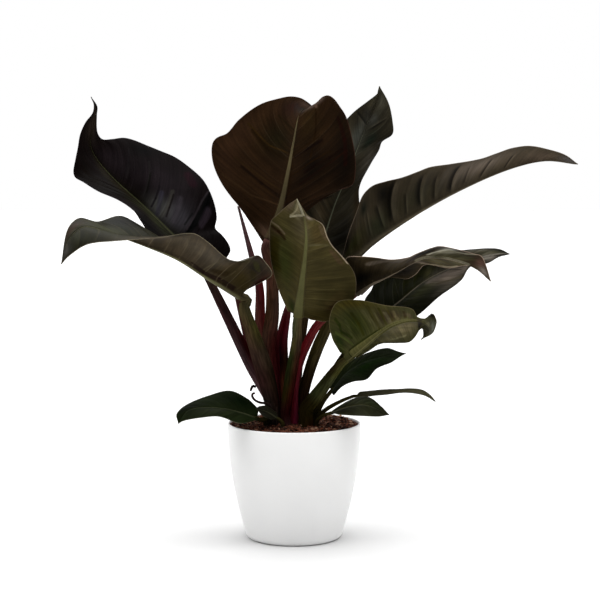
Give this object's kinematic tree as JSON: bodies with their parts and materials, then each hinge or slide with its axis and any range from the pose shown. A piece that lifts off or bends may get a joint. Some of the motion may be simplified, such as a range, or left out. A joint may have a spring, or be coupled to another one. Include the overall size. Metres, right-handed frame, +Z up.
{
  "type": "potted philodendron",
  "caption": "Upright potted foliage plant: long dark purple-brown and olive leaves on red and green stalks, in a round tapered white pot.",
  "frame": {"origin": "on the pot's axis, at the pot's flat underside", "axes": "+Z up along the pot's axis; -Y is the front, the side from which the leaves spread widest to left and right; +X to the right seen from the front"},
  "size_m": [0.6953, 0.254, 0.6142],
  "materials": {
    "pot_white": "satin white moulded plastic",
    "potting_mix": "moist reddish brown coir and bark chips",
    "blade_purple": "waxy near-black purple leaf, satin",
    "blade_brown": "dark red-brown leaf underside, satin",
    "blade_taupe": "taupe leaf underside, matte",
    "blade_olive": "olive leaf underside with a green midrib, satin",
    "blade_green": "very dark green leaf, satin",
    "stalk_red": "crimson leaf stalk, satin",
    "stalk_purple": "purple-brown leaf stalk, satin",
    "stalk_olive": "olive green leaf stalk, satin",
    "root_black": "thin dry black aerial root"
  },
  "bodies": {
    "root": {"pot": "pot_white", "potting_mix": "potting_mix", "petiole_upper_left": "stalk_purple", "petiole_centre_back": "stalk_purple", "petiole_upper_right": "stalk_purple", "petiole_long_right": "stalk_olive", "petiole_left": "stalk_olive", "petiole_centre_front": "stalk_olive", "petiole_right_front": "stalk_red", "petiole_right_back": "stalk_olive", "petiole_lower_right_front": "stalk_olive", "petiole_lower_right_back": "stalk_olive", "petiole_low_right_narrow": "stalk_olive", "petiole_low_right_small": "stalk_olive", "petiole_low_left": "stalk_olive", "petiole_low_left_small": "stalk_olive", "blade_upper_left": "blade_purple", "blade_centre_back": "blade_brown", "blade_upper_right": "blade_green", "blade_long_right": "blade_taupe", "blade_left": "blade_taupe", "blade_centre_front": "blade_olive", "blade_right_front": "blade_brown", "blade_right_back": "blade_green", "blade_lower_right_front": "blade_olive", "blade_lower_right_back": "blade_green", "blade_low_right_narrow": "blade_green", "blade_low_right_small": "blade_green", "blade_low_left": "blade_green", "blade_low_left_small": "blade_green", "spear_young_leaf": "stalk_red", "sheath_left": "stalk_red", "sheath_centre": "stalk_red", "sheath_front": "stalk_red", "root_curled": "root_black", "root_short": "root_black", "root_upper": "root_black"}
  },
  "joints": []
}
